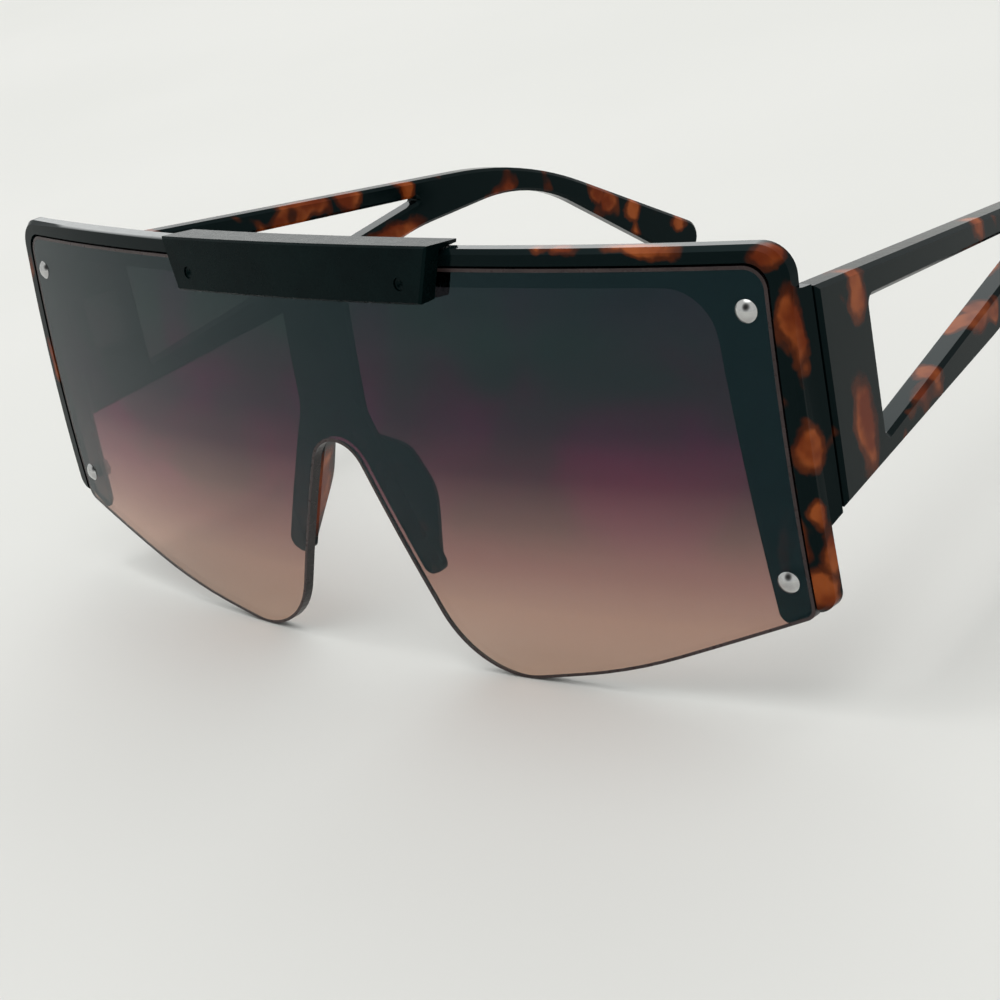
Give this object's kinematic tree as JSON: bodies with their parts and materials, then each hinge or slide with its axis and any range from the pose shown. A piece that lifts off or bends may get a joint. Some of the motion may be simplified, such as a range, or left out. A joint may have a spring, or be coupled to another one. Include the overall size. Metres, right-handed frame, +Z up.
{
  "type": "shield sunglasses",
  "caption": "Oversized shield sunglasses: one curved gradient lens in a glossy tortoise frame with a black brow bar, moulded nose pads and folding open-window temples.",
  "frame": {"origin": "middle of the footprint on the table, at the height of the table: the part rests on the two lens lobes and the two temple tips, temples open", "axes": "+X to the wearer's left, -Y the way the lens faces, +Y along the open temples, +Z up"},
  "size_m": [0.151, 0.1522, 0.0621],
  "materials": {
    "tortoise": "polished tortoise-pattern plastic",
    "tinted_lens": "polished gradient tint, dark above, pinkish brown below",
    "bar_black": "satin black",
    "pin_black": "black oxide",
    "chrome": "polished",
    "hinge_metal": "satin nickel"
  },
  "bodies": {
    "front": {"front_frame": "tortoise", "shield_lens": "tinted_lens", "brow_bar": "bar_black", "left_brow_bar_pin": "pin_black", "right_brow_bar_pin": "pin_black", "left_upper_lens_screw": "chrome", "right_upper_lens_screw": "chrome", "left_lower_lens_screw": "chrome", "right_lower_lens_screw": "chrome", "left_upper_lens_nut": "chrome", "right_upper_lens_nut": "chrome", "left_lower_lens_nut": "chrome", "right_lower_lens_nut": "chrome", "left_hinge_front_leaf": "hinge_metal", "right_hinge_front_leaf": "hinge_metal", "left_hinge_pin": "hinge_metal", "right_hinge_pin": "hinge_metal"},
    "left_temple": {"left_temple": "tortoise", "left_hinge_temple_leaf": "hinge_metal"},
    "right_temple": {"right_temple": "tortoise", "right_hinge_temple_leaf": "hinge_metal"}
  },
  "joints": [
    {"name": "left_temple_fold", "type": "hinge", "parent": "front", "child": "left_temple", "pos_m": [0.06987, -0.06086, 0.04024], "axis": [0, 0.0776, 0.997], "range_deg": [0, 84.5]},
    {"name": "right_temple_fold", "type": "hinge", "parent": "front", "child": "right_temple", "pos_m": [-0.06987, -0.06086, 0.04024], "axis": [0, -0.0776, -0.997], "range_deg": [0, 79.5]}
  ]
}
